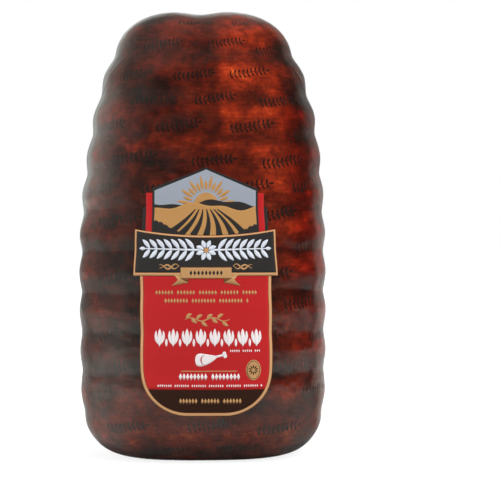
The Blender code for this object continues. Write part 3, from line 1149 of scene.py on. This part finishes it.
along = np.linspace(0, 1, 61)[None, :]
vine_s = drift(VINE_HEIGHT) + VINE_HALF * (2 * along - 1)
vine_z = VINE_HEIGHT + 1.1 * np.sin(along * 4 * np.pi)
vine = drawn(vine_s, vine_z)
printed("label_vine", stroke(vine, 0.20 + 0.26 * np.sin(np.pi * along)), ON_SHIELD, gold_ink)
vine_foot = vine[0, np.arange(VINE_LEAVES) * 7 + 2]
rising = np.where(np.arange(VINE_LEAVES) % 2 == 0, 1, -1)
vine_leaves = leaves(vine_foot, rising * math.radians(72), 5.0, 1.15, bend=-0.55 * rising, fullness=0.8)
printed("label_vine_leaves", vine_leaves, OVER_THOSE, gold_ink)

band_s = np.linspace(-BAND_HALF, BAND_HALF, LILIES) + drift(BAND_HEIGHT)
band_foot = drawn(band_s, BAND_HEIGHT - 6.0)
lily = [leaves(band_foot, math.pi / 2, 12.2, 1.5, fullness=0.75)]
for side in (-1, 1):
    side_foot = band_foot + np.array([side * 0.9, 1.6])
    lily.append(leaves(side_foot, math.pi / 2 - side * 0.50, 9.4, 1.0, bend=side * 0.34, fullness=0.8))
printed("label_lilies", lily, ON_SHIELD, white_ink)
gap_foot = (band_foot[1:] + band_foot[:-1]) / 2
buds = leaves(gap_foot, math.pi / 2, 5.6, 0.85, fullness=0.75)
printed("label_lily_buds", buds, ON_SHIELD, white_ink)

rule_s = np.linspace(-RULE_HALF, RULE_HALF, 30)[None, :] + drift(RULE_HEIGHT)
printed("label_rule", stroke(drawn(rule_s, RULE_HEIGHT), 0.3), ON_SHIELD, gold_ink)
print("lilies:", LILIES)

# %% [markdown]
# Ham in outline and seal
# A small ham on its bone shows what is in the pack, and an oval seal with a star balances it at the right.
# The ham is one stroke whose half width swells and shrinks, so its outline has no corner to smooth
# afterwards. The bone, its two knobs and the cut are strokes and ovals over it. The star is a ring of
# narrow leaves.

# %% Ham in outline and seal
HAM_SIGN = (2.2, 71.5)
SEAL = (31.0, 64.0)
SEAL_ACROSS, SEAL_HIGH = 5.1, 6.8

along = np.linspace(0, 1, 25)[None, :]
sign_s = HAM_SIGN[0] - 9.5 + 14.5 * along
sign_z = HAM_SIGN[1] - 0.8 + 2.4 * along**2
sign_half = 4.9 * np.sin(np.pi * along**0.62) ** 0.55 * (1 - 0.45 * along) + 0.01
printed("label_ham_sign", stroke(drawn(sign_s, sign_z), sign_half, 7), ON_SHIELD, white_ink)
bone_s = HAM_SIGN[0] + 4.2 + 5.2 * along
bone_z = HAM_SIGN[1] + 1.5 + 1.2 * along
printed("label_bone", stroke(drawn(bone_s, bone_z), 0.75), ON_SHIELD, white_ink)
knobs = [(HAM_SIGN[0] + 9.6, HAM_SIGN[1] + 3.7), (HAM_SIGN[0] + 10.1, HAM_SIGN[1] + 1.9)]
printed("label_bone_knobs", ovals(knobs, 1.25, 1.25), OVER_THOSE, white_ink)
cut_turn = np.linspace(-1.15, 1.15, 20)[None, :]
cut_s = HAM_SIGN[0] - 1.2 - 4.4 * np.cos(cut_turn)
cut_z = HAM_SIGN[1] - 0.6 + 4.0 * np.sin(cut_turn)
cut = stroke(drawn(cut_s, cut_z), 0.08 + 0.34 * np.cos(cut_turn * 1.3) ** 2)
printed("label_ham_cut", cut, CUT_IN, red_ink)

printed("label_seal", ovals([SEAL], SEAL_ACROSS, SEAL_HIGH), ON_SHIELD, gold_ink)
ring_turn = np.linspace(0, 2 * np.pi, 49)[None, :]
# The last column is the first one again, so that the ring closes
ring_turn[0, -1] = 0
ring_inner, ring_outer = (
    np.array(SEAL) + towards(ring_turn) * (SEAL_ACROSS - inset, SEAL_HIGH - inset) for inset in (0.96, 0.64)
)
printed("label_seal_ring", between(ring_inner, ring_outer, 3), CUT_IN, foot_ink)
spoke_angle = np.radians(np.arange(10) * 36 + 18)
spoke_foot = np.array(SEAL) + 0.9 * towards(spoke_angle)
printed("label_seal_star", leaves(spoke_foot, spoke_angle, 2.7, 0.42), CUT_IN, foot_ink)
print("seal is", 2 * SEAL_ACROSS, "by", 2 * SEAL_HIGH, "mm")

# %% [markdown]
# Print on the film
# Dark sprigs are printed all over the film in staggered rows that climb a little to the right. The film
# shrank less round the middle and more at the ends, so each sprig's size follows the ham's reach where it
# lies. The distance up the ham is measured along its outline, or the sprigs near the top would come out
# squashed. The ink is on the film's inner side, so the film's sheen lies over it.

# %% Ink of the sprigs
COVER_LEAST, COVER_SPREAD = 0.55, 0.45

film_ink, tree, shader = new_material("film_ink")
worn = flat_patches(tree, size=130.0, flatness=1.0, detail=4.0, contrast=2.2, place=17.0)
cover = maths(tree, "MULTIPLY_ADD", worn, COVER_SPREAD, COVER_LEAST)
tone = blend_colour(tree, worn, colour(0.016, 0.012, 0.010), colour(0.030, 0.022, 0.018))
feed(tree, shader, {"Alpha": cover, "Base Color": tone, "Roughness": 0.4, "Specular IOR Level": 0.2})
print("the ink covers at least", COVER_LEAST)

# %% One sprig
SPRIG_LENGTH = 37.0
LEAVES_A_SIDE = 9


def sprig():
    """One sprig round its own middle: a stem, leaves in pairs, and a bud at its tip."""
    stem_s = np.linspace(-SPRIG_LENGTH / 2, SPRIG_LENGTH / 2 - 3, LEAF_ROWS)
    stem_grid = stroke(drawn(stem_s, 0.35 * np.sin(stem_s * 0.3))[None], 0.22)
    foot_s = np.linspace(-SPRIG_LENGTH / 2 + 2.2, SPRIG_LENGTH / 2 - 5.6, LEAVES_A_SIDE)
    foot = drawn(foot_s, 0.35 * np.sin(foot_s * 0.3))
    lean = math.radians(66)
    upper = leaves(foot, lean, 4.3, 0.74, fullness=0.7)
    lower = leaves(foot, -lean, 4.3, 0.74, fullness=0.7)
    bud = leaves([(SPRIG_LENGTH / 2 - 3.2, 0)], 0.0, 3.6, 0.8)
    return np.concatenate([stem_grid, upper, lower, bud])


print("grids in a sprig:", len(sprig()))

# %% Rows of sprigs
SPRIG_ROWS = 17
SPRIGS_ROUND = 9
FIRST_ROW, ROW_STEP, BARE_TOP = 16.0, 20.0, 38.0
SPRIG_TILT = math.radians(8)
SHRINKAGE = 0.65
PRINT_DEPTH = 0.12 * MM
HEIGHT_JITTER = 2.5
TURN_JITTER = 0.06
OUTLINE_AT = 0.9
# The skin has no slope at its two ends, so normals are taken this far inside
LOWEST_PRINT, HIGHEST_PRINT = 0.2 * MM, HEIGHT - 0.1 * MM

# Heights of the outline between front and side, in metres, and the distance up along it, in millimetres
outline_z = HEIGHT * (0.5 - 0.5 * np.cos(np.linspace(0, np.pi, 1201)))
outline_steps = np.linalg.norm(np.diff(skin(OUTLINE_AT, outline_z), axis=0), axis=1)
outline_length = np.concatenate([[0], np.cumsum(outline_steps)]) / MM

rng = np.random.default_rng(5)
row, column = np.meshgrid(np.arange(SPRIG_ROWS), np.arange(SPRIGS_ROUND), indexing="ij")
start = np.radians(-4) + 2 * np.pi * (column + 0.5 * (row % 2) + 0.06 * row) / SPRIGS_ROUND
height_along = FIRST_ROW + ROW_STEP * row + rng.uniform(-HEIGHT_JITTER, HEIGHT_JITTER, row.shape)
start = (start + rng.uniform(-TURN_JITTER, TURN_JITTER, row.shape)).reshape(-1, 1, 1, 1)
height_along = height_along.reshape(-1, 1, 1, 1)
tilt = SPRIG_TILT + rng.uniform(-TURN_JITTER, TURN_JITTER, start.shape)

flat = sprig()[None]
middle_z = np.interp(height_along, outline_length, outline_z)
reach = HALF_WIDTH * plan(start) * taper(middle_z) * end_rounding(middle_z) / MM
size = 1 - SHRINKAGE + SHRINKAGE * reach / (HALF_WIDTH / MM)
shown = (height_along < outline_length[-1] - BARE_TOP).ravel()
across = size * (flat[..., 0] * np.cos(tilt) - flat[..., 1] * np.sin(tilt))
upward = size * (flat[..., 0] * np.sin(tilt) + flat[..., 1] * np.cos(tilt))
turned = start + across / reach
z = np.interp(height_along + upward, outline_length, outline_z)
points = skin(turned, z) - PRINT_DEPTH * outward(turned, np.clip(z, LOWEST_PRINT, HIGHEST_PRINT))
points = points[shown].reshape(-1, *points.shape[2:])
film_print = mesh_piece("film_print", points, film_ink)
print("sprigs:", int(shown.sum()), "faces:", len(film_print.data.polygons))

# %% [markdown]
# Floor and light
# The photo is a cut-out on white, so to the camera both floor and sky are white, and only a faint shadow
# shows where the ham stands. What the film mirrors is another matter. The soft wide haze down the ham's
# left comes from a large soft box there, and the narrow grey strip down its right rim from a panel to the
# right and behind. Both levels depend on the direction round the ham only, and the floor shows the same
# ones, or the ridges, which tilt the film up and down, would show bands where one level gives way to
# another. Beneath the ham the floor is dark, as it is wherever a thing stands in its own shade.

# %% Group for the side boxes
LEFT_LEVEL = 0.52
PANEL_LEVEL = 0.54


def build_side_boxes():
    """Brightness for a direction (x, y): a wide box at the left, and a panel at the right and behind."""
    inputs = (("X", "NodeSocketFloat", 0.0), ("Y", "NodeSocketFloat", 0.0))
    tree, given, result = new_group("Side boxes", inputs, [("Level", "NodeSocketFloat")])
    on_left = soft_step(tree, given["X"], 0.05, -0.05)
    left_fade = fading(tree, given["Y"], 0.20, 0.75, 0.35)
    left = times(tree, soft_step(tree, given["Y"], -1.0, -0.45), LEFT_LEVEL, left_fade, on_left)
    on_right = maths(tree, "SUBTRACT", 1.0, on_left)
    right_fade = fading(tree, given["Y"], 0.85, 0.98, 0.35)
    right = times(tree, soft_step(tree, given["Y"], 0.28, 0.66), PANEL_LEVEL, right_fade, on_right)
    tree.links.new(maths(tree, "ADD", left, right), result["Level"])
    return tree


side_boxes_group = build_side_boxes()
print("group:", side_boxes_group.name)

# %% [markdown]
# The floor
# The film has to mirror a studio, while the camera has to see plain white. Two renders could be put
# together afterwards. A Light Path node is simpler: it tells whether a ray comes straight from the camera,
# and the floor's own glow has one level for that ray and another for every other ray. Both depend only on
# where the point lies.

# %% Floor
FLOOR_RIGHT_LEVEL = 0.28
FLOOR_LEFT_LEVEL = 0.20

floor_material, tree, shader = new_material("studio_floor")
place, way = object_place(tree)
away = add(tree, "ShaderNodeVectorMath", {0: place}, operation="LENGTH").outputs["Value"]
# White to the camera, with a faint painted shadow close to the ham
to_camera = maths(tree, "MULTIPLY_ADD", soft_step(tree, away, 0.12, 0.5), 0.2, 0.86)
# To every other ray the two side boxes and, in front of the ham and beside it, a level of its own
turn = {"X": maths(tree, "DIVIDE", way["X"], away), "Y": maths(tree, "DIVIDE", way["Y"], away)}
boxes = use_group(tree, side_boxes_group, turn)
nearness = soft_step(tree, away, 1.2, 0.3)
ahead = soft_step(tree, turn["Y"], 0.45, 0.0)
left_more = soft_step(tree, turn["X"], 0.2, -0.4)
near_level = maths(tree, "MULTIPLY_ADD", left_more, FLOOR_LEFT_LEVEL - FLOOR_RIGHT_LEVEL, FLOOR_RIGHT_LEVEL)
to_film = maths(tree, "ADD", boxes["Level"], times(tree, nearness, ahead, near_level))
# The ham's own shade on the floor, wide and faint, then narrow and deep
wide_shade = fading(tree, away, 0.34, 0.12, 0.40)
deep_shade = fading(tree, away, 0.105, 0.065, 0.85)
to_film = times(tree, to_film, wide_shade, deep_shade)
seen = add(tree, "ShaderNodeLightPath").outputs["Is Camera Ray"]
shine = blend_colour(tree, seen, grey(tree, to_film), grey(tree, to_camera))
feed(tree, shader, {"Emission Color": shine, "Emission Strength": 1.0})
feed(tree, shader, {"Base Color": colour(0.25, 0.25, 0.25), "Roughness": 0.7, "Specular IOR Level": 0.1})

bpy.ops.mesh.primitive_circle_add(vertices=96, radius=9, fill_type="NGON", location=(0, 0, -0.2 * MM))
floor = bpy.context.object
floor.name = "floor"
floor.data.materials.append(floor_material)
print("floor radius in m:", round(floor.dimensions.x / 2, 2))

# %% [markdown]
# The sky
# The sky holds the same two side boxes, a dim level low on the left, more from overhead, and a patch high
# at the back, which gives the upper end its light edge. It could be a picture of a studio. A few smooth
# steps of the direction do as well, and each is set by one number.

# %% Studio sky
BASE_LEVEL = 0.06
LOW_LEFT_LEVEL = 0.20
TOP_LEVEL = 0.36
BACK_TOP_LEVEL = 0.42

world = bpy.data.worlds.new("studio")
bpy.context.scene.world = world
world.use_nodes = True
tree = world.node_tree
sky = tree.nodes["Background"]
way = add(tree, "ShaderNodeSeparateXYZ", {0: add(tree, "ShaderNodeTexCoord").outputs["Generated"]}).outputs
boxes = use_group(tree, side_boxes_group, {"X": way["X"], "Y": way["Y"]})
on_left = soft_step(tree, way["X"], 0.15, -0.15)
low_left = times(tree, on_left, soft_step(tree, way["Z"], 0.40, 0.25))
low_left = maths(tree, "MULTIPLY_ADD", low_left, LOW_LEFT_LEVEL, BASE_LEVEL)
overhead = times(tree, soft_step(tree, way["Z"], 0.60, 0.92), TOP_LEVEL)
behind = soft_step(tree, way["Y"], 0.55, 0.85)
raised = soft_step(tree, way["Z"], 0.12, 0.35)
middle = soft_step(tree, maths(tree, "ABSOLUTE", way["X"]), 0.40, 0.10)
back_top = times(tree, behind, raised, middle, BACK_TOP_LEVEL)
level = maths(tree, "MAXIMUM", boxes["Level"], maths(tree, "ADD", overhead, low_left))
level = maths(tree, "ADD", level, back_top)
seen = add(tree, "ShaderNodeLightPath").outputs["Is Camera Ray"]
shine = blend_colour(tree, seen, grey(tree, level), colour(1, 1, 1))
feed(tree, sky, {"Color": shine, "Strength": 1.0})
print("sky nodes:", len(tree.nodes))

# %% [markdown]
# Lamps
# Four large square lamps light the meat and the label, because large lamps give soft light without a hard
# shadow. They are hidden from mirror rays. The film's haze comes from the sky and the floor, and a lamp
# would add a bright square to it.

# %% Lamps
# Name, place, height that it is aimed at, size in metres, and power in watts
LAMPS = (
    ("key", (0.75, -1.45, 1.25), 0.18, 0.7, 29),
    ("fill", (-1.3, -1.3, 0.7), 0.15, 1.0, 11),
    ("right side", (1.5, 0.0, 0.5), 0.15, 0.9, 14),
    ("left side", (-1.5, 0.1, 0.5), 0.15, 0.9, 9),
)


def soft_light(name, place, aim_height, size, power):
    """A square lamp turned towards the ham's axis."""
    data = bpy.data.lights.new(name, "AREA")
    data.shape = "SQUARE"
    data.size = size
    data.energy = power
    lamp = bpy.data.objects.new(name, data)
    lamp.location = place
    towards_ham = Vector((0, 0, aim_height)) - Vector(place)
    lamp.rotation_euler = towards_ham.to_track_quat("-Z", "Y").to_euler()
    lamp.visible_glossy = False
    lamp.visible_camera = False
    bpy.context.scene.collection.objects.link(lamp)


for lamp_values in LAMPS:
    soft_light(*lamp_values)
print("lamps:", [row[0] for row in LAMPS])
